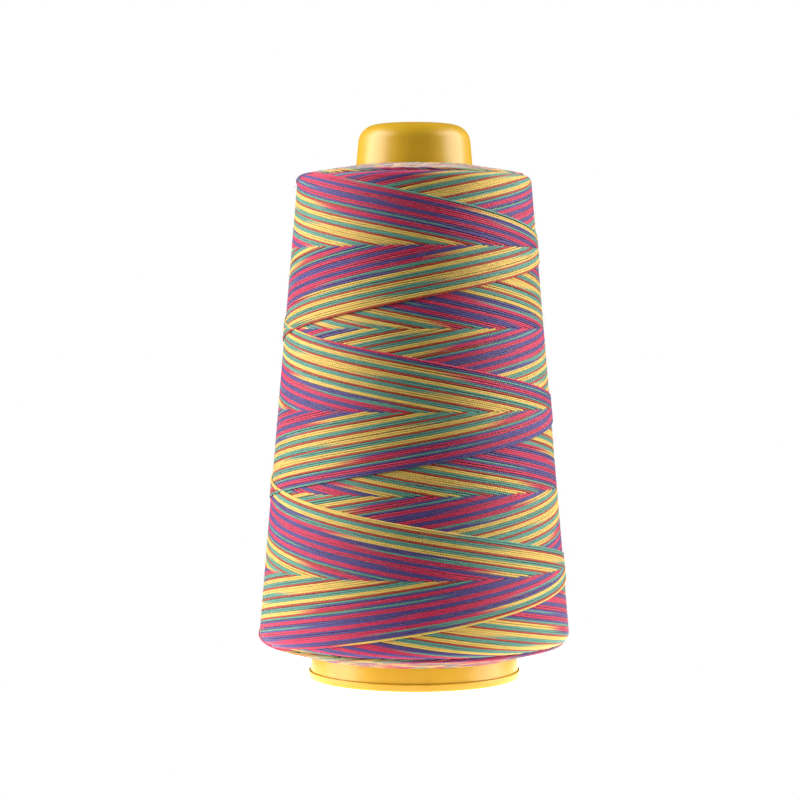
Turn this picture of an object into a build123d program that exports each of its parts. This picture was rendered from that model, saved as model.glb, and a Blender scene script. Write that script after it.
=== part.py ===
from build123d import *
from math import atan, degrees, radians, sqrt, tan
import os

# A cone of overlock thread: a hollow moulded plastic cone that stands on its wide end, with one
# long thread cross-wound on it. Millimetres, +Z up, origin at the centre of the base, front
# towards -Y. Angles round the cone are in degrees, anticlockwise from above.

# ---- driving dimensions -------------------------------------------------------------------

# moulded cone
CONE_HEIGHT = 118.0          # base to nose
CONE_WALL = 1.4              # moulded wall, measured across the axis
BASE_RADIUS = 22.3           # outside of the wall, just above the bead
LIP_STAND = 0.4              # how far the bead round the base stands out from the wall
LIP_HEIGHT = 1.65
LIP_EDGE = 0.45              # rounding of the bead's lower edge
LIP_STEP_EDGE = 0.2          # rounding of the bead's upper edge
BORE_RADIUS = 7.5            # hole in the nose, for the pin of a thread stand
COLLAR_LENGTH = 7.0          # the bore's wall, from the top of the nose downwards
COLLAR_WALL = 1.2
COLLAR_GAP = 1.9             # between the collar and the wall, where the nose rounds over
NOSE_EDGE = 3.9              # rounding of the nose
NOSE_WALL = 2.0              # thickness of the nose's flat end
BORE_EDGE = 0.4              # rounding of the bore's upper edge
RIB_COUNT = 6                # stiffening ribs inside the nose, from the collar to the wall
RIB_THICKNESS = 1.0
RIB_STEP = 1.0               # how far above the collar's lower end the ribs stop
RIB_CUT = 0.3                # how far under the nose wall the ribs' outer corners are cut off

# wound package
BARE_WALL = 3.05             # cone left bare between the bead and the thread
BARE_NOSE = 8.75             # cone left bare between the thread and the top
BOTTOM_THREAD_DEPTH = 12.0   # thread on the cone at the bottom edge, measured across the axis
TOP_THREAD_DEPTH = 12.6      # thread on the cone at the top edge
BOTTOM_SLOPE = 15.0          # degrees that the bottom shoulder falls towards the cone
TOP_SLOPE = 9.3              # degrees that the top shoulder rises towards the cone
BOTTOM_EDGE = 2.6            # rounding of the bottom edge
TOP_EDGE = 1.8               # rounding of the top edge
SKIN_DEPTH = 1.5             # the layers wound last, which are the ones that show
INNER_EDGE_MIN = 0.3         # least rounding of an edge inside the package

# thread
THREAD_WIDTH = 0.42          # across one strand
STRAND_CLEARANCE = 0.01      # between the last strand and the layers that it lies on
WIND_PITCH = 33.9            # rise of the thread in one turn
TURN_ANGLE = -64.0           # where the last strand turns back at the bottom, from the front
TURN_DROP = 0.9              # it turns back this far below the package's bottom edge
STRAND_END_GAP = 0.5         # the strand is modelled up to this far from the rounded edges

# ---- sizes that follow from those -----------------------------------------------------------

FRONT = -90.0                # the front's direction, from +X
LIP_RADIUS = BASE_RADIUS + LIP_STAND
NOSE_RADIUS = BORE_RADIUS + COLLAR_WALL + COLLAR_GAP + CONE_WALL
NOSE_ROUND_START = CONE_HEIGHT - NOSE_EDGE
WALL_TAPER = (BASE_RADIUS - NOSE_RADIUS) / (NOSE_ROUND_START - LIP_HEIGHT)
BOTTOM_RISE = tan(radians(BOTTOM_SLOPE))
TOP_RISE = tan(radians(TOP_SLOPE))
PACKAGE_BOTTOM = LIP_HEIGHT + BARE_WALL + BOTTOM_THREAD_DEPTH * BOTTOM_RISE
PACKAGE_TOP = CONE_HEIGHT - BARE_NOSE - TOP_THREAD_DEPTH * TOP_RISE


# ---- the surfaces that pieces share ---------------------------------------------------------

def wall_radius(z):
    """Outside radius of the cone's wall at height z."""
    return BASE_RADIUS - (z - LIP_HEIGHT) * WALL_TAPER


def hollow_radius(z):
    """Inside radius of the cone's wall at height z."""
    return wall_radius(z) - CONE_WALL


def profile_face(points, roundings):
    """A face in the XZ plane through the points (r, z); roundings gives a radius for some of them."""
    outline = Polyline(*points, close=True)
    face = make_face(outline)
    for index, radius in roundings.items():
        corner = face.vertices().sort_by_distance(points[index])[0]
        face = fillet(corner, radius)
    return Plane.XZ * face


# ---- sub-parts ------------------------------------------------------------------------------

def cone_core():
    """Injection-moulded cone: base bead, tapered wall, rounded nose with a pin bore and ribs."""
    top = CONE_HEIGHT
    under_nose = CONE_HEIGHT - NOSE_WALL
    collar_end = CONE_HEIGHT - COLLAR_LENGTH
    collar_radius = BORE_RADIUS + COLLAR_WALL
    outline = [
        (hollow_radius(0.0), 0.0),
        (LIP_RADIUS, 0.0),
        (LIP_RADIUS, LIP_HEIGHT),
        (wall_radius(LIP_HEIGHT), LIP_HEIGHT),
        (wall_radius(top), top),
        (BORE_RADIUS, top),
        (BORE_RADIUS, collar_end),
        (collar_radius, collar_end),
        (collar_radius, under_nose),
        (hollow_radius(under_nose), under_nose),
    ]
    roundings = {1: LIP_EDGE, 2: LIP_STEP_EDGE, 4: NOSE_EDGE, 5: BORE_EDGE}
    body = revolve(profile_face(outline, roundings), Axis.Z)
    for index in range(RIB_COUNT):
        body += Rot(0, 0, index * 360 / RIB_COUNT) * nose_rib()
    return body


def nose_rib():
    """One flat rib between the collar and the wall, let into both by half their thickness. Its
    upper outer corner is cut off, so that it ends inside the rounded nose."""
    low = CONE_HEIGHT - COLLAR_LENGTH + RIB_STEP
    cut = CONE_HEIGHT - NOSE_WALL - RIB_CUT
    high = CONE_HEIGHT - NOSE_WALL / 2
    inner = BORE_RADIUS + COLLAR_WALL / 2
    outline = [
        (inner, low),
        (wall_radius(low) - CONE_WALL / 2, low),
        (wall_radius(cut) - CONE_WALL / 2, cut),
        (NOSE_RADIUS - NOSE_EDGE / 2, high),
        (inner, high),
    ]
    plate = profile_face(outline, {})
    return extrude(plate, RIB_THICKNESS / 2, both=True)


def side_radius(z):
    """Radius of the package's side at height z, before the edges are rounded."""
    bottom = wall_radius(PACKAGE_BOTTOM) + BOTTOM_THREAD_DEPTH
    top = wall_radius(PACKAGE_TOP) + TOP_THREAD_DEPTH
    return bottom + (top - bottom) * (z - PACKAGE_BOTTOM) / (PACKAGE_TOP - PACKAGE_BOTTOM)


def shoulder_foot(radius, z, slope):
    """Where a shoulder that starts at (radius, z) and rises by slope inwards meets the cone."""
    depth = (radius - wall_radius(z)) / (1 - slope * WALL_TAPER)
    foot = z + slope * depth
    return (wall_radius(foot), foot)


def package(inset):
    """The wound thread as one turned solid, inset from its outside by a given depth."""
    low = PACKAGE_BOTTOM + inset
    high = PACKAGE_TOP - inset
    low_corner = (side_radius(low) - inset, low)
    high_corner = (side_radius(high) - inset, high)
    outline = [
        shoulder_foot(*low_corner, -BOTTOM_RISE),
        low_corner,
        high_corner,
        shoulder_foot(*high_corner, TOP_RISE),
    ]
    roundings = {
        1: max(BOTTOM_EDGE - inset, INNER_EDGE_MIN),
        2: max(TOP_EDGE - inset, INNER_EDGE_MIN),
    }
    return revolve(profile_face(outline, roundings), Axis.Z)


def inner_winding():
    """The thread wound first, against the cone: most of the package."""
    return package(SKIN_DEPTH)


def outer_winding():
    """The thread wound last: the side and both shoulders of the package."""
    return package(0.0) - package(SKIN_DEPTH)


def running_end():
    """The last strand laid: one stroke up the side, a helix on the taper of the package."""
    low = PACKAGE_BOTTOM + BOTTOM_EDGE + STRAND_END_GAP
    high = PACKAGE_TOP - TOP_EDGE - STRAND_END_GAP
    taper = (side_radius(low) - side_radius(high)) / (high - low)
    stand_off = (THREAD_WIDTH / 2 + STRAND_CLEARANCE) * sqrt(1 + taper ** 2)
    radius = side_radius(low) + stand_off
    helix = Helix(WIND_PITCH, high - low, radius, cone_angle=-degrees(atan(taper)))
    section = Plane(origin=helix @ 0, z_dir=helix % 0) * Circle(THREAD_WIDTH / 2)
    strand = sweep(section, path=helix, is_frenet=True)
    climbed = low - PACKAGE_BOTTOM + TURN_DROP
    start_angle = FRONT + TURN_ANGLE + 360 * climbed / WIND_PITCH
    return Pos(0, 0, low) * Rot(0, 0, start_angle) * strand


# ---- written files --------------------------------------------------------------------------

os.makedirs("parts", exist_ok=True)
for sub_part in (cone_core, inner_winding, outer_winding, running_end):
    export_step(sub_part(), f"parts/{sub_part.__name__}.step")
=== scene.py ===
import math

import bpy
import numpy as np
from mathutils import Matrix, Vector


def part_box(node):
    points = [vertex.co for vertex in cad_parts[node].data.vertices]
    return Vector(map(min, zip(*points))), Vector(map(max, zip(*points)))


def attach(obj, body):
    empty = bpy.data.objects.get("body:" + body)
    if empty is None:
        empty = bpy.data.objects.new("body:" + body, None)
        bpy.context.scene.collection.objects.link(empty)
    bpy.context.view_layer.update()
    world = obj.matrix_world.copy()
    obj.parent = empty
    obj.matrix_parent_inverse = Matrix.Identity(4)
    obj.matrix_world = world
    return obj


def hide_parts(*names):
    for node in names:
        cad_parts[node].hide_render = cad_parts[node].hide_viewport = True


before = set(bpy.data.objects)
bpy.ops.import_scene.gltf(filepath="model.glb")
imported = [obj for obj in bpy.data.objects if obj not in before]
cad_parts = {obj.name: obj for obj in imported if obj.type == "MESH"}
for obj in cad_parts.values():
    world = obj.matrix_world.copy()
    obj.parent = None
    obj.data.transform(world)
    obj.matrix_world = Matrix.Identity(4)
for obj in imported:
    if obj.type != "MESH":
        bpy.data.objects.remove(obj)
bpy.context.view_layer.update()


# ---- moulded cone ---------------------------------------------------------------------------
# The cone is one injection moulding in glossy yellow polypropylene: a bead round the base, a thin
# tapered wall, a rounded nose, and inside the nose a collar for the pin, held by six flat ribs.

MM = 0.001
_, cone_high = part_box("cone_core")
LIP_RADIUS = cone_high[0]
CONE_TOP = cone_high[2]
LIP_STAND = 0.4 * MM
LIP_HEIGHT = 1.65 * MM
LIP_EDGE = 0.45 * MM         # rounding of the bead's lower edge
LIP_STEP_EDGE = 0.2 * MM     # rounding of its upper edge
LIP_STEP_FOOT = 0.12 * MM    # rounding where the wall rises from it
FOOT_EDGE = 0.2 * MM         # rounding of the hollow's lower edge
CONE_WALL = 1.4 * MM
NOSE_RADIUS = 12.0 * MM
NOSE_EDGE = 3.9 * MM
NOSE_WALL = 2.0 * MM
BORE_RADIUS = 7.5 * MM
BORE_EDGE = 0.4 * MM
COLLAR_LENGTH = 7.0 * MM
COLLAR_WALL = 1.2 * MM
SMALL_EDGE = 0.3 * MM
RIB_COUNT = 6
RIB_THICKNESS = 1.0 * MM
RIB_STEP = 1.0 * MM          # the ribs end this far above the collar's lower edge
CONE_SIDES = 192
PLASTIC = (0.58, 0.345, 0.016)
PLASTIC_DEEP = (0.48, 0.25, 0.008)   # where the plastic flowed thicker
PLASTIC_ROUGHNESS = (0.28, 0.40)
FLOW_STRETCH = 0.12          # the flow marks run down the wall, this much coarser along it
FLOW_SCALE = 160.0
RIPPLE_SCALE = 90.0
RIPPLE_DEPTH = 0.2 * MM
GRAIN_SCALE = 2600.0
GRAIN_DEPTH = 0.08 * MM

BASE_RADIUS = LIP_RADIUS - LIP_STAND
WALL_TAPER = (BASE_RADIUS - NOSE_RADIUS) / (CONE_TOP - NOSE_EDGE - LIP_HEIGHT)


def wall_radius(z):
    """Outside radius of the cone's wall: it shrinks evenly with height above the bead."""
    return BASE_RADIUS - (z - LIP_HEIGHT) * WALL_TAPER


def rounded_outline(corners):
    """Points (r, z) round a closed outline with arcs at its corners, each given as (r, z, radius,
    points). An arc leaves and meets its two runs a radius over the tangent of half the inside angle
    from the corner; a further point on each run keeps the smooth shading inside the arc."""
    spots = np.array([corner[:2] for corner in corners])
    points = []
    for i, (_, _, radius, count) in enumerate(corners):
        back, on = spots[i - 1] - spots[i], spots[(i + 1) % len(spots)] - spots[i]
        back_length, on_length = np.linalg.norm(back), np.linalg.norm(on)
        back, on = back / back_length, on / on_length
        half = math.acos(back @ on) / 2
        reach = radius / math.tan(half)
        middle = (back + on) / np.linalg.norm(back + on)
        centre = spots[i] + middle * radius / math.sin(half)
        first = spots[i] + back * reach - centre
        last = spots[i] + on * reach - centre
        turn = math.pi - 2 * half
        share = np.linspace(0, 1, count)[:, None]
        arc = (np.sin((1 - share) * turn) * first + np.sin(share * turn) * last) / math.sin(turn)
        lead_in = spots[i] + back * (reach + min(reach, back_length / 4))
        lead_out = spots[i] + on * (reach + min(reach, on_length / 4))
        points += [lead_in, *(centre + arc), lead_out]
    return np.array(points)


def mesh_piece(name, corners, faces):
    """A smooth-shaded piece from points and faces; the faces come with their outer side out."""
    mesh = bpy.data.meshes.new(name)
    mesh.from_pydata(corners.reshape(-1, 3).tolist(), [], faces)
    mesh.polygons.foreach_set("use_smooth", np.ones(len(mesh.polygons), bool))
    mesh.update()
    piece = bpy.data.objects.new(name, mesh)
    bpy.context.scene.collection.objects.link(piece)
    return piece


def turned_piece(name, outline, sides):
    """A closed outline (r, z) carried once round the axis: x = r cos a, y = r sin a."""
    angle = np.arange(sides) * 2 * math.pi / sides
    r, z = outline[:, 0], outline[:, 1]
    corners = np.stack([np.outer(np.cos(angle), r), np.outer(np.sin(angle), r),
                        np.broadcast_to(z, (sides, len(z)))], axis=-1)
    i, j = np.meshgrid(np.arange(sides), np.arange(len(r)), indexing="ij")
    i_next, j_next = (i + 1) % sides, (j + 1) % len(r)
    faces = np.stack([i * len(r) + j, i_next * len(r) + j, i_next * len(r) + j_next,
                      i * len(r) + j_next], axis=-1)
    return mesh_piece(name, corners, faces.reshape(-1, 4).tolist())


def tube_faces(tubes, stations, ring):
    """Corner numbers of closed tubes: faces of four corners round the sides, and a cap an end."""
    t, i, j = np.meshgrid(np.arange(tubes), np.arange(stations - 1), np.arange(ring), indexing="ij")
    here = (t * stations + i) * ring
    turn = (j + 1) % ring
    sides = np.stack([here + j, here + turn, here + ring + turn, here + ring + j], axis=-1)
    first = np.arange(tubes)[:, None] * stations * ring + np.arange(ring)
    caps = np.stack([first[:, ::-1], first + (stations - 1) * ring], axis=1)
    return sides.reshape(-1, 4), caps.reshape(-1, ring)


def new_material(name):
    """A material whose nodes are one Principled shader and its output."""
    material = bpy.data.materials.new(name)
    material.use_nodes = True
    nodes, links = material.node_tree.nodes, material.node_tree.links
    nodes.clear()
    shader = nodes.new("ShaderNodeBsdfPrincipled")
    output = nodes.new("ShaderNodeOutputMaterial")
    links.new(shader.outputs["BSDF"], output.inputs["Surface"])
    return material, nodes, links, shader


def noise(nodes, links, place, scale, detail):
    """The value of a noise pattern read at a place."""
    pattern = nodes.new("ShaderNodeTexNoise")
    pattern.inputs["Scale"].default_value = scale
    pattern.inputs["Detail"].default_value = detail
    links.new(place, pattern.inputs["Vector"])
    return pattern.outputs["Fac"]


def spread(nodes, links, value, from_range, to_range):
    """A value carried from one range to another."""
    change = nodes.new("ShaderNodeMapRange")
    change.inputs["From Min"].default_value, change.inputs["From Max"].default_value = from_range
    change.inputs["To Min"].default_value, change.inputs["To Max"].default_value = to_range
    links.new(value, change.inputs["Value"])
    return change.outputs["Result"]


def blend(nodes, links, share, first, second, way="MIX"):
    """A mix of two colours, each a fixed colour or a node's output; share may be either too."""
    mix = nodes.new("ShaderNodeMix")
    mix.data_type = "RGBA"
    mix.blend_type = way
    for socket, value in (("Factor", share), ("A", first), ("B", second)):
        if isinstance(value, bpy.types.NodeSocket):
            links.new(value, mix.inputs[socket])
        else:
            mix.inputs[socket].default_value = value
    return mix.outputs["Result"]


def bump(nodes, links, height, strength, depth, under=None):
    """A normal pushed about by a height, over another normal where one is given."""
    relief = nodes.new("ShaderNodeBump")
    relief.inputs["Strength"].default_value = strength
    relief.inputs["Distance"].default_value = depth
    links.new(height, relief.inputs["Height"])
    if under is not None:
        links.new(under, relief.inputs["Normal"])
    return relief.outputs["Normal"]


def moulded_polypropylene():
    """Glossy yellow plastic: some depth, faint flow marks down the wall, a fine moulded grain."""
    material, nodes, links, shader = new_material("moulded_polypropylene")
    place = nodes.new("ShaderNodeTexCoord").outputs["Object"]
    stretch = nodes.new("ShaderNodeMapping")
    stretch.inputs["Scale"].default_value = (1.0, 1.0, FLOW_STRETCH)
    links.new(place, stretch.inputs["Vector"])
    flow = noise(nodes, links, stretch.outputs["Vector"], FLOW_SCALE, 3.0)
    share = spread(nodes, links, flow, (0.35, 0.75), (0.0, 0.5))
    links.new(blend(nodes, links, share, (*PLASTIC, 1), (*PLASTIC_DEEP, 1)),
              shader.inputs["Base Color"])
    links.new(spread(nodes, links, flow, (0.2, 0.8), PLASTIC_ROUGHNESS), shader.inputs["Roughness"])
    waves = noise(nodes, links, place, RIPPLE_SCALE, 1.0)
    ripple = bump(nodes, links, waves, 0.25, RIPPLE_DEPTH)
    specks = noise(nodes, links, place, GRAIN_SCALE, 2.0)
    grain = bump(nodes, links, specks, 0.12, GRAIN_DEPTH, ripple)
    links.new(grain, shader.inputs["Normal"])
    shader.inputs["Subsurface Weight"].default_value = 0.15
    shader.inputs["Subsurface Radius"].default_value = (1.0, 0.5, 0.12)
    shader.inputs["Subsurface Scale"].default_value = 1.5 * MM
    shader.inputs["IOR"].default_value = 1.49
    shader.inputs["Specular IOR Level"].default_value = 0.42
    return material


cone_outline = rounded_outline([
    (wall_radius(0) - CONE_WALL, 0.0, FOOT_EDGE, 3),
    (LIP_RADIUS, 0.0, LIP_EDGE, 6),
    (LIP_RADIUS, LIP_HEIGHT, LIP_STEP_EDGE, 4),
    (wall_radius(LIP_HEIGHT), LIP_HEIGHT, LIP_STEP_FOOT, 3),
    (wall_radius(CONE_TOP), CONE_TOP, NOSE_EDGE, 16),
    (BORE_RADIUS, CONE_TOP, BORE_EDGE, 5),
    (BORE_RADIUS, CONE_TOP - COLLAR_LENGTH, SMALL_EDGE, 4),
    (BORE_RADIUS + COLLAR_WALL, CONE_TOP - COLLAR_LENGTH, SMALL_EDGE, 4),
    (BORE_RADIUS + COLLAR_WALL, CONE_TOP - NOSE_WALL, SMALL_EDGE, 4),
    (wall_radius(CONE_TOP - NOSE_WALL) - CONE_WALL, CONE_TOP - NOSE_WALL, SMALL_EDGE, 4),
])
cone = turned_piece("plastic_cone", cone_outline, CONE_SIDES)

rib_depth = COLLAR_LENGTH - RIB_STEP
rib_levels = CONE_TOP - np.array([NOSE_WALL / 2, NOSE_WALL + SMALL_EDGE, rib_depth - 2 * SMALL_EDGE,
                                  rib_depth - SMALL_EDGE / 3, rib_depth])
rib_halves = RIB_THICKNESS / 2 * np.array([1.0, 1.0, 1.0, 0.8, 0.5])
rib_inside = np.full_like(rib_levels, BORE_RADIUS + COLLAR_WALL / 2)
rib_outside = wall_radius(rib_levels) - CONE_WALL / 2
rib_outside[0] = NOSE_RADIUS - NOSE_EDGE / 2      # its top end stays inside the rounded nose
rib_reach = np.stack([rib_inside, rib_outside, rib_outside, rib_inside], axis=1)
rib_side = np.stack([-rib_halves, -rib_halves, rib_halves, rib_halves], axis=1)
rib_angle = (np.arange(RIB_COUNT) * 2 * math.pi / RIB_COUNT)[:, None, None]
rib_shape = (RIB_COUNT, *rib_reach.shape)
rib_corners = np.stack([np.cos(rib_angle) * rib_reach - np.sin(rib_angle) * rib_side,
                        np.sin(rib_angle) * rib_reach + np.cos(rib_angle) * rib_side,
                        np.broadcast_to(rib_levels[:, None], rib_shape)], axis=-1)
rib_sides, rib_caps = tube_faces(*rib_shape)
rib_faces = rib_sides[:, ::-1].tolist() + rib_caps[:, ::-1].tolist()
ribs = mesh_piece("nose_ribs", rib_corners, rib_faces)
ribs.data.polygons.foreach_set("use_smooth", np.zeros(len(ribs.data.polygons), bool))

plastic = moulded_polypropylene()
for moulding in (cone, ribs):
    moulding.data.materials.append(plastic)
    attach(moulding, "root")
    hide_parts("cone_core")


# ---- shape of the wound package -------------------------------------------------------------
# The thread stands on the cone as a taller, steeper cone: a straight side, a rounded edge at each
# end of it, and two shoulders that slope back to the bare plastic.

BARE_WALL = 3.05 * MM        # plastic left bare between the bead and the thread
BARE_NOSE = 8.75 * MM        # and between the thread and the top
BOTTOM_DEPTH = 12.0 * MM     # thread on the cone at the two edges, measured across the axis
TOP_DEPTH = 12.6 * MM
BOTTOM_SLOPE = math.radians(15.0)
TOP_SLOPE = math.radians(9.3)
BOTTOM_EDGE = 2.6 * MM
TOP_EDGE = 1.8 * MM
BURIED = 1.45 * MM           # depth of the buried thread under the strands that show

bottom_z = LIP_HEIGHT + BARE_WALL + BOTTOM_DEPTH * math.tan(BOTTOM_SLOPE)
top_z = CONE_TOP - BARE_NOSE - TOP_DEPTH * math.tan(TOP_SLOPE)
bottom_radius = wall_radius(bottom_z) + BOTTOM_DEPTH
top_radius = wall_radius(top_z) + TOP_DEPTH
side_slope = (bottom_radius - top_radius) / (top_z - bottom_z)
side_tilt = math.atan(side_slope)
bottom_turn = math.pi / 2 - BOTTOM_SLOPE + side_tilt
top_turn = math.pi / 2 - TOP_SLOPE - side_tilt
side_low = bottom_z + BOTTOM_EDGE * math.tan(bottom_turn / 2) * math.cos(side_tilt)
side_high = top_z - TOP_EDGE * math.tan(top_turn / 2) * math.cos(side_tilt)


def side_radius(z):
    """Radius of the package's side: it shrinks evenly with height."""
    return bottom_radius - (z - bottom_z) * side_slope


def on_package(reach, lift):
    """(r, z, nr, nz) at a reach, the height along the side's line; past the side's ends the line
    bends with the rounded edges and runs on along the shoulders. A point stands off by lift along
    the outward normal (nr, nz)."""
    lean = np.full_like(reach, side_tilt)
    r, z = side_radius(reach), reach.copy()
    for end, up, radius, turn in ((side_high, 1, TOP_EDGE, top_turn),
                                  (side_low, -1, BOTTOM_EDGE, bottom_turn)):
        past = np.maximum(up * (reach - end), 0) / math.cos(side_tilt)
        bend = np.minimum(past / radius, turn)
        along = past - bend * radius
        centre_r = side_radius(end) - radius * math.cos(side_tilt)
        centre_z = end - radius * math.sin(side_tilt)
        end_lean = side_tilt + up * bend
        end_r = centre_r + radius * np.cos(end_lean) - up * along * np.sin(end_lean)
        end_z = centre_z + radius * np.sin(end_lean) + up * along * np.cos(end_lean)
        r = np.where(past > 0, end_r, r)
        z = np.where(past > 0, end_z, z)
        lean = np.where(past > 0, end_lean, lean)
    return r + lift * np.cos(lean), z + lift * np.sin(lean), np.cos(lean), np.sin(lean)


def place(angle, reach, lift):
    """Points and outward normals on the package; angle 0 faces the front and grows to the right."""
    r, z, nr, nz = on_package(reach, lift)
    east, north = np.sin(angle), -np.cos(angle)
    spots = np.stack([r * east, r * north, z], axis=-1)
    normals = np.stack([nr * east, nr * north, nz], axis=-1)
    return spots, normals


# ---- how the thread is laid -----------------------------------------------------------------
# A guide sweeps up and down while the cone turns, so each double stroke is a helix down and a helix
# up, and the next one starts a little further round. The thread is followed here from its newest
# end: "back" counts the turns of the cone since a point was laid.

REACH_TOP = 108.6 * MM       # where the guide turns at the top, counted as reach
REACH_BOTTOM = 7.0 * MM
STROKES = 81                 # double strokes that cover the package once
TURNS = 6 + 1 / STROKES      # turns of the cone in a double stroke
NEWEST_ANGLE = math.radians(-64.0)
THREAD_WIDTH = 0.43 * MM
THREAD_HEIGHT = 0.38 * MM
LAYER = 0.32 * MM            # how much one layer of thread adds, pressed into the one below
SKIM = 0.17 * MM             # the newest strand's middle lies this far under the package's surface
TURN_SHARPNESS = 0.99973     # at 1 the guide would turn back in a point
CROSSING = 1.4               # strokes over which a strand climbs from under the newest edge


def laid_path(back):
    """Angle, reach and lift of the strand. Reach is a triangle wave with rounded points: an arcsine
    of a cosine. Each layer spirals outwards like a roll of cloth, so a strand sinks by a layer for
    every full cycle of its own age and of the age of the strands that cross it, and by one more
    where those are the newer."""
    angle = NEWEST_ANGLE - 2 * math.pi * back
    middle, half = (REACH_TOP + REACH_BOTTOM) / 2, (REACH_TOP - REACH_BOTTOM) / 2
    wave = np.arcsin(TURN_SHARPNESS * np.cos(2 * math.pi * back / TURNS)) * 2 / math.pi
    share = 1 - np.abs((back / TURNS) % 1 * 2 - 1)
    rising = (back / TURNS) % 1 < 0.5
    own_age = back / TURNS / STROKES
    met_rising = (back + share * TURNS / 2 - 1 / STROKES) % 1 + (1 - share / 2) / STROKES
    met_falling = (back - share * TURNS / 2) % 1 + share / 2 / STROKES
    across_age = np.where(rising, met_rising, met_falling)
    over = np.clip((across_age - own_age) * STROKES / CROSSING + 0.5, 0, 1)
    over = over * over * (3 - 2 * over)
    return angle, middle + half * wave, LAYER * (over - 1 - own_age - across_age) - SKIM


STEPS_PER_TURN = 120
stroke_back = np.linspace(0, TURNS, int(TURNS * STEPS_PER_TURN) + 1)
stroke_angle, stroke_reach, _ = laid_path(stroke_back)
stroke_spots, _ = place(stroke_angle, stroke_reach, np.zeros_like(stroke_reach))
stroke_gaps = np.linalg.norm(np.diff(stroke_spots, axis=0), axis=1)
stroke_run = np.concatenate([[0], np.cumsum(stroke_gaps)])
STROKE_LENGTH = stroke_run[-1]


def thread_run(back):
    """Length of thread from its newest end: whole double strokes, and the way through this one."""
    return np.floor(back / TURNS) * STROKE_LENGTH + np.interp(back % TURNS, stroke_back, stroke_run)


# ---- thread ---------------------------------------------------------------------------------
# Spun polyester overlock thread of two plies, space-dyed in a long repeat of five colours, so that
# neighbouring strands catch different colours and the package shows bands and zigzags.

YELLOW = (0.75, 0.50, 0.095)
TEAL = (0.10, 0.30, 0.22)
CRIMSON = (0.58, 0.015, 0.078)
VIOLET = (0.080, 0.048, 0.215)
RUST = (0.42, 0.034, 0.010)
REPEATS_PER_STROKE = 0.8063  # dye repeats in one double stroke
DYE_START = 85               # where the first colour starts in a repeat that is 1402 long in all;
                             # the colours follow in this order, each with its length
DYES = [(RUST, 156), (VIOLET, 99), (TEAL, 114), (YELLOW, 87), (CRIMSON, 50), (VIOLET, 83),
        (TEAL, 50), (YELLOW, 88), (CRIMSON, 138), (YELLOW, 72), (TEAL, 92), (CRIMSON, 111),
        (YELLOW, 68), (TEAL, 82), (VIOLET, 112)]
DYE_BLEED = 7                # length over which one colour runs into the next
LIE_WOBBLE = 0.10 * MM
LIE_PACES = (2.1, 0.37)      # how fast the two waves of a strand's lie run
UNEVEN = 0.15                # how much the strand's width and height vary, as a share
WIDTH_PACE = 3.3             # how fast they vary along the thread
HEIGHT_PACE = 2.7
WOBBLE_PACES = (0.6, 9.0)    # slowest and fastest sine in a wobble
PLY_PITCH = 1.25 * MM        # length of one turn of the twist
PLY_DEPTH = 0.10 * MM        # relief of the two plies and the fibres
PLY_ROUNDING = 0.6           # below 1 the plies are fuller and the groove between them is narrower
FIBRES_ROUND = 6.0           # pace of the fibres across the strand
FIBRES_ALONG = 900.0         # and along it
UPTAKE_ALONG = 260.0         # pace at which the thread takes more or less dye
MAP_SIDE = (0.01, 0.98)      # where a row starts in OFBake, and its length
MAP_ROW = (0.08, 0.84)       # the part of a row's height that is used: its start and its share
MAP_CAP_SIDES = (0.003, 0.997)       # middles of the caps, in the margins beside the rows
MAP_CAP_SIZE = (0.002, 0.3)  # half the width of a cap, and half its height as a share of a row


def dye_at(share):
    """Colour at a place in the dye repeat, from 0 to 1: flat bands with a short blend between."""
    lengths = np.array([length for _, length in DYES])
    ends = np.cumsum(lengths)
    spots = np.stack([ends - lengths + DYE_BLEED / 2, ends - DYE_BLEED / 2], axis=1).ravel()
    tones = np.repeat(np.array([tone for tone, _ in DYES]), 2, axis=0)
    where = (share * ends[-1] - DYE_START) % ends[-1]
    channels = [np.interp(where, spots, tones[:, c], period=ends[-1]) for c in range(3)]
    return np.stack(channels, axis=-1)


def dye_along(run):
    """Colour of the thread at a length from its newest end."""
    return dye_at(run / STROKE_LENGTH * REPEATS_PER_STROKE % 1)


def wobble(values, seed, waves=5):
    """A smooth random curve between about -1 and 1: the mean of a few sines of mixed length."""
    rng = np.random.default_rng(seed)
    pace = rng.uniform(*WOBBLE_PACES, waves)
    start = rng.uniform(0, 2 * math.pi, waves)
    return np.mean(np.sin(values[..., None] * pace + start), axis=-1)


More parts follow.
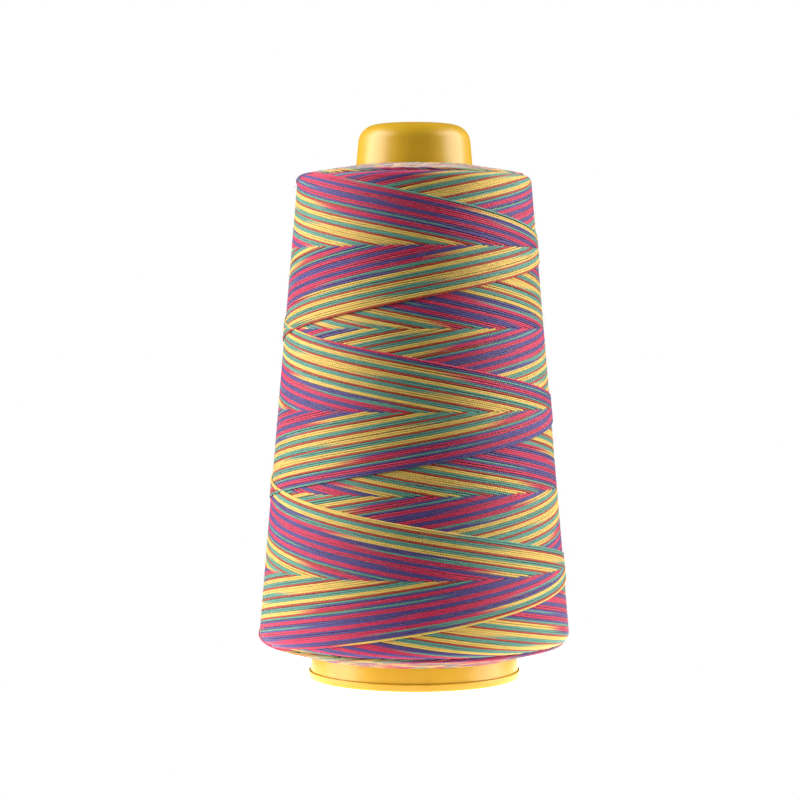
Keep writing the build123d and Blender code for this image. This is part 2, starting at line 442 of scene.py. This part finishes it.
def thread_piece(name, spots, normals, run, tones, width, height, ring, row_steps):
    """Strands as one piece, from arrays of (strand, station, 3). An oval section with so many
    corners, half of width cos t across and half of height sin t out, goes along the stations. The
    map strand holds the run of the thread and the share of the way round; OFBake lays the steps
    out in rows of row_steps."""
    ahead = np.gradient(spots, axis=1)
    ahead /= np.linalg.norm(ahead, axis=-1, keepdims=True)
    across = np.cross(normals, ahead)
    across /= np.linalg.norm(across, axis=-1, keepdims=True)
    above = np.cross(ahead, across)
    turn = (np.arange(ring) * 2 * math.pi / ring)[:, None]
    section = (np.cos(turn) * (across * width[..., None])[:, :, None] / 2
               + np.sin(turn) * (above * height[..., None])[:, :, None] / 2)
    corners = spots[:, :, None] + section
    strands, stations = spots.shape[:2]
    sides, caps = tube_faces(strands, stations, ring)
    piece = mesh_piece(name, corners, sides.tolist() + caps.tolist())

    s, i, j = np.meshgrid(np.arange(strands), np.arange(stations - 1), np.arange(ring),
                          indexing="ij")
    station = np.stack([i, i, i + 1, i + 1], axis=-1)
    share = np.stack([j, j + 1, j + 1, j], axis=-1) / ring
    side_run = run[s[..., None], station]
    cap_run = np.repeat(run[:, [0, -1]], ring)
    cap_share = np.tile(np.arange(ring) / ring, strands * 2)
    thread_map = piece.data.uv_layers.new(name="strand")
    coords = np.stack([np.concatenate([side_run.ravel(), cap_run]),
                       np.concatenate([share.ravel(), cap_share])], axis=-1)
    thread_map.data.foreach_set("uv", coords.astype(np.float32).ravel())
    step = s * (stations - 1) + i
    rows = -(-strands * (stations - 1) // row_steps)
    step_left = (step[..., None] % row_steps + station - i[..., None]) / row_steps
    left = MAP_SIDE[0] + MAP_SIDE[1] * step_left
    high = (step[..., None] // row_steps + MAP_ROW[0] + MAP_ROW[1] * share) / rows
    cap_row = (np.arange(strands)[:, None] * (stations - 1) + [0, stations - 2]) // row_steps
    cap_turn = cap_share * 2 * math.pi
    cap_middle = np.tile(np.repeat(MAP_CAP_SIDES, ring), strands)
    cap_left = cap_middle + MAP_CAP_SIZE[0] * np.cos(cap_turn)
    cap_high = (np.repeat(cap_row, ring) + 0.5 + MAP_CAP_SIZE[1] * np.sin(cap_turn)) / rows
    bake_map = piece.data.uv_layers.new(name="OFBake")
    coords = np.stack([np.concatenate([left.ravel(), cap_left]),
                       np.concatenate([high.ravel(), cap_high])], axis=-1)
    bake_map.data.foreach_set("uv", coords.astype(np.float32).ravel())
    paint = piece.data.color_attributes.new("dye", "FLOAT_COLOR", "POINT")
    rgba = np.concatenate([tones, np.ones(tones.shape[:-1] + (1,))], axis=-1).reshape(-1, 4)
    paint.data.foreach_set("color", np.repeat(rgba, ring, axis=0).astype(np.float32).ravel())
    return piece


def two_ply_thread():
    """Spun polyester: the strand's own dye, two plies twisted together, short fibres, soft sheen."""
    material, nodes, links, shader = new_material("two_ply_thread")

    def work(operation, first, second=0.0):
        """One step of arithmetic on fixed values or nodes' outputs."""
        step = nodes.new("ShaderNodeMath")
        step.operation = operation
        for socket, value in zip(step.inputs, (first, second)):
            if isinstance(value, bpy.types.NodeSocket):
                links.new(value, socket)
            else:
                socket.default_value = value
        return step.outputs[0]

    paint = nodes.new("ShaderNodeAttribute")
    paint.attribute_name = "dye"
    strand_map = nodes.new("ShaderNodeUVMap")
    strand_map.uv_map = "strand"
    parts = nodes.new("ShaderNodeSeparateXYZ")
    links.new(strand_map.outputs["UV"], parts.inputs[0])
    run, share = parts.outputs["X"], parts.outputs["Y"]
    twist = work("SUBTRACT", work("MULTIPLY", run, 1 / PLY_PITCH), share)
    swing = work("ABSOLUTE", work("SINE", work("MULTIPLY", twist, 2 * math.pi)))
    ply = work("POWER", swing, PLY_ROUNDING)
    fibre_place = nodes.new("ShaderNodeCombineXYZ")
    links.new(work("MULTIPLY", twist, FIBRES_ROUND), fibre_place.inputs["X"])
    links.new(work("MULTIPLY", run, FIBRES_ALONG), fibre_place.inputs["Y"])
    fibres = noise(nodes, links, fibre_place.outputs[0], 2.0, 2.0)
    height = work("ADD", work("MULTIPLY", ply, 0.75), work("MULTIPLY", fibres, 0.45))
    links.new(bump(nodes, links, height, 0.6, PLY_DEPTH), shader.inputs["Normal"])
    uptake_place = nodes.new("ShaderNodeCombineXYZ")
    links.new(work("MULTIPLY", run, UPTAKE_ALONG), uptake_place.inputs["X"])
    uptake = noise(nodes, links, uptake_place.outputs[0], 1.0, 3.0)
    # Painted shade: the ply term darkens the groove between the two plies, and the fibre noise
    # darkens the thread where its relief is low; the uptake noise is the dye taking unevenly.
    uptake_and_painted_shade = work("MULTIPLY", work("ADD", work("MULTIPLY", ply, 0.34), 0.68),
                 work("ADD", work("MULTIPLY", uptake, 0.5), 0.75))
    uptake_and_painted_shade = work("MULTIPLY", uptake_and_painted_shade, work("ADD", work("MULTIPLY", fibres, 0.5), 0.75))
    grey = nodes.new("ShaderNodeCombineColor")
    for channel in grey.inputs:
        links.new(uptake_and_painted_shade, channel)
    links.new(blend(nodes, links, 1.0, paint.outputs["Color"], grey.outputs[0], "MULTIPLY"),
              shader.inputs["Base Color"])
    shader.inputs["Roughness"].default_value = 0.6
    shader.inputs["Specular IOR Level"].default_value = 0.35
    shader.inputs["Sheen Weight"].default_value = 0.45
    shader.inputs["Sheen Roughness"].default_value = 0.35
    return material


thread = two_ply_thread()


# ---- buried thread --------------------------------------------------------------------------
# Most of the thread lies under the strands that show. It is one ring here, a little inside them,
# ridged like wound thread, and it closes against the plastic. Its colours are the dyes darkened:
# painted shade of thread lying under the strands.

RIDGES = (60.0, 60.0, 2400.0)        # pace of the ridges: long round the cone, fine up it
RIDGE_DEPTH = 0.2 * MM
# The dyes darkened: painted shade of the thread under the strands that show.
SHADED_BURIED_CRIMSON = (0.30, 0.03, 0.05)
SHADED_BURIED_YELLOW = (0.30, 0.20, 0.04)
SHADED_BURIED_TEAL = (0.05, 0.12, 0.13)
BURIED_FOOT_EDGE = 0.1 * MM


def buried_thread():
    """Wound thread in painted shade: fine level ridges whose colour wanders among the darkened dyes.
    """
    material, nodes, links, shader = new_material("buried_thread")
    place_on = nodes.new("ShaderNodeTexCoord").outputs["Object"]
    squash = nodes.new("ShaderNodeMapping")
    squash.inputs["Scale"].default_value = RIDGES
    links.new(place_on, squash.inputs["Vector"])
    lines = noise(nodes, links, squash.outputs["Vector"], 1.0, 1.0)
    finer = noise(nodes, links, squash.outputs["Vector"], 2.7, 1.0)
    warm = spread(nodes, links, lines, (0.35, 0.65), (0.0, 1.0))
    cool = spread(nodes, links, finer, (0.4, 0.6), (0.0, 1.0))
    half_mix = blend(nodes, links, warm, (*SHADED_BURIED_CRIMSON, 1), (*SHADED_BURIED_YELLOW, 1))
    links.new(blend(nodes, links, cool, half_mix, (*SHADED_BURIED_TEAL, 1)), shader.inputs["Base Color"])
    links.new(bump(nodes, links, lines, 0.6, RIDGE_DEPTH), shader.inputs["Normal"])
    shader.inputs["Roughness"].default_value = 0.8
    return material


def shoulder_foot(radius, z, slope):
    """Where a shoulder that starts at (radius, z) and rises by slope inwards meets the cone."""
    depth = (radius - wall_radius(z)) / (1 - slope * WALL_TAPER)
    foot = z + slope * depth
    return wall_radius(foot) - CONE_WALL / 4, foot


buried_low = (side_radius(bottom_z + BURIED) - BURIED, bottom_z + BURIED)
buried_high = (side_radius(top_z - BURIED) - BURIED, top_z - BURIED)
buried_outline = rounded_outline([
    (*shoulder_foot(*buried_low, -math.tan(BOTTOM_SLOPE)), BURIED_FOOT_EDGE, 2),
    (*buried_low, BOTTOM_EDGE - BURIED, 6),
    (*buried_high, TOP_EDGE / 2, 6),
    (*shoulder_foot(*buried_high, math.tan(TOP_SLOPE)), BURIED_FOOT_EDGE, 2),
])
buried = turned_piece("buried_thread", buried_outline, CONE_SIDES)
buried.data.materials.append(buried_thread())
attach(buried, "root")
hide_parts("inner_winding")


# ---- strands that show ----------------------------------------------------------------------
# The thread of the last full cycle is one length, held only by its own crossings. It is cut into
# lengths here so that no piece has too many faces; the last stroke of all is a piece of its own.

STRAND_CORNERS = 8
WOUND_PIECES = 5
first_turn = TURNS / 2
piece_turns = (TURNS * STROKES - first_turn) / WOUND_PIECES
lengths = [("last_stroke", 0.0, first_turn, "running_end")]
for number in range(WOUND_PIECES):
    name = f"wound_thread_{number + 1}"
    start = first_turn + piece_turns * number
    lengths.append((name, start, start + piece_turns, "outer_winding"))

for name, start, end, node in lengths:
    back = np.linspace(start, end, int((end - start) * STEPS_PER_TURN) + 1)[None]
    angle, reach, lift = laid_path(back)
    lie = wobble(back * LIE_PACES[0], seed=7) + wobble(back * LIE_PACES[1], seed=8)
    spots, normals = place(angle, reach + LIE_WOBBLE * lie, lift)
    run = thread_run(back)
    width = THREAD_WIDTH * (1 + UNEVEN * wobble(back * WIDTH_PACE, seed=9))
    height = THREAD_HEIGHT * (1 + UNEVEN * wobble(back * HEIGHT_PACE, seed=10))
    laid = thread_piece(name, spots, normals, run, dye_along(run), width, height,
                        STRAND_CORNERS, STEPS_PER_TURN)
    laid.data.materials.append(thread)
    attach(laid, "root")
    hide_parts(node)


# ---- turning loops on the shoulders ---------------------------------------------------------
# Every double stroke turns back once at each end, a little nearer the edge than the one before, so
# each shoulder is a braid of the tips of all the loops, from the bare cone out to the edge.

LOOP_STEPS = 8
LOOP_CORNERS = 5
LOOP_SPAN = math.radians(26)         # of the turn that shows before the strand dives inside
LOOP_ROUND = 0.9 * MM                # roundness of a tip
LOOP_INSET = 0.75 * MM               # from the guide's turning point to the outermost tip
LOOP_SWAP = 8.0                      # how quickly the newer half of a tip rises over the older
LOOP_MIX = 0.45                      # how far the fibres of five neighbours mingle
LOOPS_PER_ROW = 15                   # in the map OFBake
REACH_SCATTER = 0.04 * MM            # how much the tips differ, each way
LIFT_SCATTER = 0.03 * MM
STRETCH_SCATTER = 0.10
ANGLE_SCATTER = 0.02
WIND_PITCH = (REACH_TOP - REACH_BOTTOM) / (TURNS / 2)
CYCLE = 2 * LAYER                    # what each full cycle adds to the package's radius


def turning_loops(name, up, edge_radius, edge_turn, side_end, outer_reach, shoulder, seed):
    """The tips on one shoulder, one to a double stroke, spiralling from the edge to the cone. Each
    lies level on the shoulder at its middle and dives to both sides by a hyperbola that tends to
    the pitch of the winding. Its newer half lies a layer further out."""
    edge_reach = edge_radius * edge_turn
    first = outer_reach - edge_reach + CYCLE
    loops = int((shoulder - first) / CYCLE * STROKES)
    age = np.arange(loops)[:, None] / STROKES
    rng = np.random.default_rng(seed)
    swing = np.linspace(-0.5, 0.5, LOOP_STEPS + 1)[None] * LOOP_SPAN
    down = np.hypot(WIND_PITCH * swing / (2 * math.pi), LOOP_ROUND) - LOOP_ROUND
    past = edge_reach + first + CYCLE * age - LAYER / 2 * np.tanh(LOOP_SWAP * swing)
    past = past + REACH_SCATTER * rng.standard_normal((loops, 1))
    reach = side_end + up * past * math.cos(side_tilt)
    lift = -SKIM - down + LIFT_SCATTER * rng.standard_normal((loops, 1))
    stretch = 1 + STRETCH_SCATTER * rng.standard_normal((loops, 1))
    angle = NEWEST_ANGLE - 2 * math.pi * age + swing * stretch
    angle = angle + ANGLE_SCATTER * rng.standard_normal((loops, 1))
    spots, normals = place(angle, reach, lift)
    stroke_shrink = 1 - CYCLE * age / side_radius(side_end)
    start = np.cumsum(STROKE_LENGTH * stroke_shrink, axis=0)
    gaps = np.linalg.norm(np.diff(spots, axis=1), axis=-1)
    run = start - np.concatenate([np.zeros((loops, 1)), np.cumsum(gaps, axis=1)], axis=1)
    size = np.ones_like(run)
    tones = dye_along(run)
    around = np.mean([np.roll(tones, step, axis=0) for step in range(-2, 3)], axis=0)
    tones = tones + LOOP_MIX * (around - tones)
    piece = thread_piece(name, spots, normals, run, tones, THREAD_WIDTH * size,
                         THREAD_HEIGHT * size, LOOP_CORNERS, LOOP_STEPS * LOOPS_PER_ROW)
    piece.data.materials.append(thread)
    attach(piece, "root")
    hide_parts("outer_winding")


top_foot = shoulder_foot(top_radius, top_z, math.tan(TOP_SLOPE))
bottom_foot = shoulder_foot(bottom_radius, bottom_z, -math.tan(BOTTOM_SLOPE))
top_shoulder = (math.hypot(top_radius - top_foot[0], top_foot[1] - top_z)
                - TOP_EDGE * math.tan(top_turn / 2))
bottom_shoulder = (math.hypot(bottom_radius - bottom_foot[0], bottom_z - bottom_foot[1])
                   - BOTTOM_EDGE * math.tan(bottom_turn / 2))
turning_loops("top_turning_loops", 1, TOP_EDGE, top_turn, side_high,
              REACH_TOP - LOOP_INSET - side_high, top_shoulder, seed=21)
turning_loops("bottom_turning_loops", -1, BOTTOM_EDGE, bottom_turn, side_low,
              side_low - REACH_BOTTOM - LOOP_INSET, bottom_shoulder, seed=22)


# ---- stray fibres ---------------------------------------------------------------------------
# Spun polyester thread is made of short fibres, a few hundredths of a millimetre thick and held by
# the twist. Some of their ends have worked loose and stand off the package as a faint fuzz.

FIBRES = 2600
FIBRE_STEPS = 6
FIBRE_CORNERS = 3
FIBRES_PER_ROW = 20                  # in the map OFBake
FIBRE_THICKNESS = 0.026 * MM
FIBRE_LENGTHS = (0.8, 2.6)           # shortest and longest, in millimetres
FIBRE_STAND = (0.15, 0.75)           # how far a fibre's end stands off, as a share of its length
FIBRE_CURL = 1.2                     # spread of the turn from root to end
FIBRE_SLANT = 0.7                    # below 1 the fibres lie more round the package than up it
FIBRE_PALE = (0.8, 0.78, 0.75)

rng = np.random.default_rng(31)
root_back = rng.uniform(0, TURNS * STROKES, (FIBRES, 1))
root_angle, root_reach, root_lift = laid_path(root_back)
way = np.linspace(0, 1, FIBRE_STEPS + 1)[None]
fibre_length = rng.uniform(*FIBRE_LENGTHS, (FIBRES, 1)) * MM
heading = rng.uniform(0, 2 * math.pi, (FIBRES, 1))
heading = heading + rng.normal(0, FIBRE_CURL, (FIBRES, 1)) * way
stand = rng.uniform(*FIBRE_STAND, (FIBRES, 1)) * fibre_length * way ** 1.3 * (1.25 - 0.5 * way)
root_radius = on_package(root_reach, root_lift)[0]
fibre_angle = root_angle + fibre_length * way * np.cos(heading) / root_radius
fibre_reach = root_reach + fibre_length * way * np.sin(heading) * FIBRE_SLANT
fibre_spots, fibre_normals = place(fibre_angle, fibre_reach, root_lift + THREAD_HEIGHT / 3 + stand)
root_run = thread_run(root_back)
fibre_tones = dye_along(np.repeat(root_run, FIBRE_STEPS + 1, axis=1))
taper = FIBRE_THICKNESS * (1 - 0.6 * way) * np.ones((FIBRES, 1))
fuzz = thread_piece("stray_fibres", fibre_spots, fibre_normals, root_run + fibre_length * way,
                    fibre_tones, taper, taper, FIBRE_CORNERS, FIBRE_STEPS * FIBRES_PER_ROW)


def loose_fibre():
    """Single polyester fibres: each a little paler than the thread it stands on."""
    material, nodes, links, shader = new_material("loose_fibre")
    paint = nodes.new("ShaderNodeAttribute")
    paint.attribute_name = "dye"
    place_on = nodes.new("ShaderNodeTexCoord").outputs["Object"]
    patches = noise(nodes, links, place_on, 900.0, 1.0)
    share = spread(nodes, links, patches, (0.3, 0.7), (0.05, 0.35))
    links.new(blend(nodes, links, share, paint.outputs["Color"], (*FIBRE_PALE, 1)),
              shader.inputs["Base Color"])
    shader.inputs["Roughness"].default_value = 0.5
    return material


fuzz.data.materials.append(loose_fibre())
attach(fuzz, "root")
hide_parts("outer_winding")


# ---- floor ----------------------------------------------------------------------------------
# A pale floor lit from within, like a light table. It thins out into the surround, so no edge of it
# shows, and it is clear from below.

FLOOR_RADIUS = 0.6
FLOOR_SIDES = 64
FLOOR_WHITE = 0.92
FLOOR_SOLID = 0.034          # the floor is solid out to here
FLOOR_FADE = 0.060           # and clear from here on
FLOOR_GLOW = 1.95

floor_ring = np.linspace(0, 2 * math.pi, FLOOR_SIDES, endpoint=False)
floor_spots = np.stack([FLOOR_RADIUS * np.cos(floor_ring), FLOOR_RADIUS * np.sin(floor_ring),
                        np.zeros(FLOOR_SIDES)], axis=-1)
floor = mesh_piece("floor", floor_spots, [list(range(FLOOR_SIDES))])
floor_paint, nodes, links, floor_shader = new_material("pale_floor")
floor_place = nodes.new("ShaderNodeTexCoord").outputs["Object"]
away = nodes.new("ShaderNodeVectorMath")
away.operation = "LENGTH"
links.new(floor_place, away.inputs[0])
thinning = spread(nodes, links, away.outputs["Value"], (FLOOR_SOLID, FLOOR_FADE), (1.0, 0.0))
from_above = nodes.new("ShaderNodeMath")
from_above.operation = "SUBTRACT"
from_above.use_clamp = True
links.new(thinning, from_above.inputs[0])
links.new(nodes.new("ShaderNodeNewGeometry").outputs["Backfacing"], from_above.inputs[1])
links.new(from_above.outputs["Value"], floor_shader.inputs["Alpha"])
floor_shader.inputs["Base Color"].default_value = (FLOOR_WHITE, FLOOR_WHITE, FLOOR_WHITE, 1)
floor_shader.inputs["Roughness"].default_value = 0.9
floor_shader.inputs["Specular IOR Level"].default_value = 0.1
floor_shader.inputs["Emission Color"].default_value = (1, 1, 1, 1)
floor_shader.inputs["Emission Strength"].default_value = FLOOR_GLOW
floor.data.materials.append(floor_paint)


# ---- light and camera -----------------------------------------------------------------------
# A white surround that shows but lights little, and two large soft lights, one at each side, the
# left one a little to the front. The middle of the package is left darker than its sides.

SURROUND_LIGHT = 0.08        # what the surround gives; the camera sees it as plain white
SIDE_WATTS = 10.0
SIDE_DISTANCE = 0.6
SIDE_HEIGHT = 0.28
SIDE_SIZE = (0.56, 0.75)     # width and height of a light
SIDE_AIM = (0, 0, 0.06)
SIDES = (("left", -1, 1.12, 86), ("right", 1, 0.98, 90))     # sign in x, share, degrees from front

world = bpy.data.worlds.new("surround")
bpy.context.scene.world = world
world.use_nodes = True
surround = world.node_tree.nodes["Background"]
surround.inputs["Color"].default_value = (1, 1, 1, 1)
ray = world.node_tree.nodes.new("ShaderNodeLightPath")
level = world.node_tree.nodes.new("ShaderNodeMapRange")
level.inputs["To Min"].default_value = SURROUND_LIGHT
level.inputs["To Max"].default_value = 1.0
world.node_tree.links.new(ray.outputs["Is Camera Ray"], level.inputs["Value"])
world.node_tree.links.new(level.outputs["Result"], surround.inputs["Strength"])


for side_name, side, share, degrees in SIDES:
    turned = math.radians(degrees)
    spot = Vector((side * SIDE_DISTANCE * math.sin(turned), -SIDE_DISTANCE * math.cos(turned),
                   SIDE_HEIGHT))
    lamp = bpy.data.lights.new(side_name + "_light", "AREA")
    lamp.shape = "RECTANGLE"
    lamp.size, lamp.size_y = SIDE_SIZE
    lamp.energy = SIDE_WATTS * share
    holder = bpy.data.objects.new(side_name + "_light", lamp)
    bpy.context.scene.collection.objects.link(holder)
    holder.location = spot
    holder.rotation_euler = (Vector(SIDE_AIM) - spot).to_track_quat("-Z", "Y").to_euler()

bpy.context.scene.view_settings.view_transform = "Standard"

CAMERA_DISTANCE = 0.482
CAMERA_HEIGHT = 0.0754
CAMERA_ASIDE = 0.00306       # so that the cone stands a little right of the middle
CAMERA_DROOP = math.radians(1.91)
CAMERA_LENS = 101.25         # in millimetres, on a sensor 36 mm wide
lens = bpy.data.cameras.new("camera")
lens.sensor_width = 36.0
lens.lens = CAMERA_LENS
camera = bpy.data.objects.new("camera", lens)
bpy.context.scene.collection.objects.link(camera)
camera.location = (-CAMERA_ASIDE, -CAMERA_DISTANCE, CAMERA_HEIGHT)
camera.rotation_euler = (math.pi / 2 - CAMERA_DROOP, 0, 0)
bpy.context.scene.camera = camera
